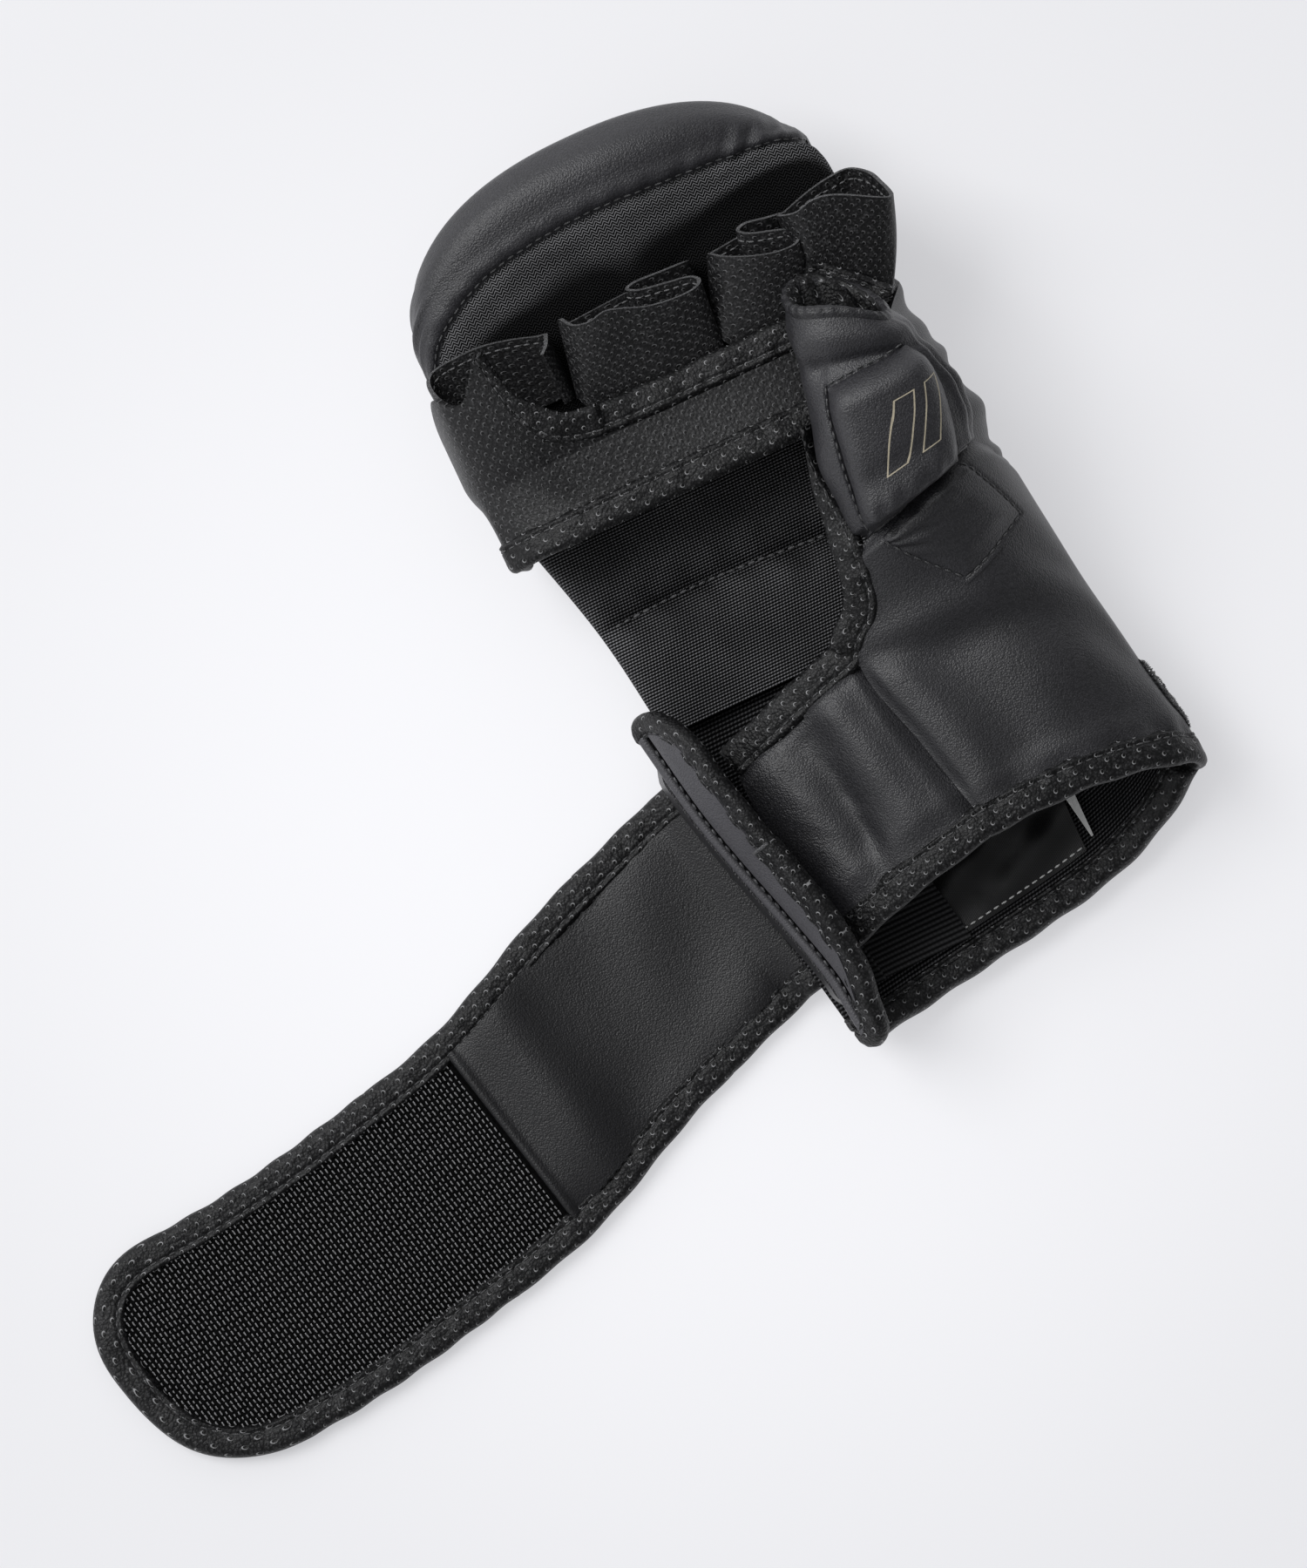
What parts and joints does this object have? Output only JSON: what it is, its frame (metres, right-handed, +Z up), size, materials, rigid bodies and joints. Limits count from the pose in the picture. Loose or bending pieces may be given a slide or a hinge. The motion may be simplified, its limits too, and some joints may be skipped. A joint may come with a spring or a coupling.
{
  "type": "mma sparring glove",
  "caption": "Right-hand padded sparring glove lying palm up: bent knuckle pad, finger loops, palm band, padded thumb, lined cuff with closing flap and an open hook-and-loop wrist strap.",
  "frame": {"origin": "on the flat rest face under the back of the hand", "axes": "+X to the thumb side, +Y to the finger tips, +Z up out of the palm, away from the surface the glove lies on"},
  "size_m": [0.3597, 0.305, 0.0848],
  "materials": {
    "leather": "matte, fine grain",
    "suede": "napped, perforated",
    "binding": "perforated tape, satin",
    "mesh": "ribbed mesh",
    "knit": "knit",
    "foam": "moulded closed-cell foam",
    "elastic": "ribbed elastic",
    "loop": "loop pile",
    "hook": "rows of moulded hooks",
    "satin": "satin weave",
    "white": "plain weave"
  },
  "bodies": {
    "glove": {"knuckle_pad_cover": "leather", "back_hand_cover": "leather", "cuff_back_cover": "leather", "cuff_panel_cover": "leather", "thenar_panel_cover": "leather", "thumb_base_patch": "leather", "thumb_gusset": "leather", "cuff_side_wall": "leather", "strap_anchor": "leather", "palm_band": "suede", "cuff_back_mouth_binding": "binding", "palm_band_lower_binding": "binding", "palm_band_upper_binding": "binding", "cuff_panel_mouth_binding": "binding", "thenar_mouth_binding": "binding", "palm_opening_binding": "binding", "knuckle_pad_lining": "mesh", "back_hand_lining": "knit", "cuff_back_lining": "knit", "cuff_panel_lining": "knit", "thenar_panel_lining": "knit", "knuckle_pad_foam": "foam", "back_hand_foam_wrist": "foam", "back_hand_foam_knuckle": "foam", "cuff_back_foam": "foam", "elastic_gusset": "elastic", "loop_patch": "loop", "satin_label": "satin", "care_label": "white"},
    "strap_root": {"strap_root_cover": "leather", "strap_root_core": "foam", "strap_root_facing": "leather", "strap_root_binding_upper": "binding", "strap_root_binding_lower": "binding"},
    "strap_mid": {"strap_mid_cover": "leather", "strap_mid_core": "foam", "strap_mid_facing": "leather", "strap_mid_hooks": "hook", "strap_mid_binding_upper": "binding", "strap_mid_binding_lower": "binding"},
    "strap_tip": {"strap_tip_cover": "leather", "strap_tip_core": "foam", "strap_tip_hooks": "hook", "strap_tip_binding": "binding"},
    "flap": {"flap_cover": "leather", "flap_core": "foam", "flap_facing": "leather", "flap_binding": "binding"},
    "thumb": {"thumb_sleeve": "leather", "thumb_lining": "knit", "thumb_pad_foam": "foam", "thumb_pad_cover": "leather", "thumb_mouth_binding": "binding"},
    "loop_little": {"finger_loop_little": "suede"},
    "loop_ring": {"finger_loop_ring": "suede"},
    "loop_middle": {"finger_loop_middle": "suede"},
    "loop_index": {"finger_loop_index": "suede"}
  },
  "joints": [
    {"name": "strap_root_fold", "type": "hinge", "parent": "glove", "child": "strap_root", "pos_m": [-0.048, -0.1075, 0.006], "axis": [-0.2198, 0.9755, 0], "range_deg": [0, 90]},
    {"name": "strap_mid_fold", "type": "hinge", "parent": "strap_root", "child": "strap_mid", "pos_m": [-0.10635, -0.13058, 0.006], "axis": [-0.2198, 0.9755, 0], "range_deg": [0, 90]},
    {"name": "strap_tip_fold", "type": "hinge", "parent": "strap_mid", "child": "strap_tip", "pos_m": [-0.21259, -0.15954, 0.006], "axis": [-0.2198, 0.9755, 0], "range_deg": [0, 25]},
    {"name": "flap_fold", "type": "hinge", "parent": "glove", "child": "flap", "pos_m": [-0.0375, -0.10525, 0.0285], "axis": [-0.2163, 0.9763, 0], "range_deg": [-28, 18]},
    {"name": "thumb_lift", "type": "hinge", "parent": "glove", "child": "thumb", "pos_m": [0.047, -0.0265, 0.0705], "axis": [0.9654, 0.2607, 0], "range_deg": [0, 30], "stiffness_Nm_per_rad": 0.05},
    {"name": "finger_loop_tip_little", "type": "hinge", "parent": "glove", "child": "loop_little", "pos_m": [-0.04575, 0.041, 0.0443], "axis": [1, 0, 0], "range_deg": [0, 12], "stiffness_Nm_per_rad": 0.02},
    {"name": "finger_loop_tip_ring", "type": "hinge", "parent": "glove", "child": "loop_ring", "pos_m": [-0.006, 0.041, 0.04283], "axis": [1, 0, 0], "range_deg": [0, 12], "stiffness_Nm_per_rad": 0.02},
    {"name": "finger_loop_tip_middle", "type": "hinge", "parent": "glove", "child": "loop_middle", "pos_m": [0.0295, 0.041, 0.04319], "axis": [1, 0, 0], "range_deg": [0, 12], "stiffness_Nm_per_rad": 0.02},
    {"name": "finger_loop_tip_index", "type": "hinge", "parent": "glove", "child": "loop_index", "pos_m": [0.0566, 0.041, 0.04546], "axis": [1, 0, 0], "range_deg": [0, 12], "stiffness_Nm_per_rad": 0.02}
  ]
}
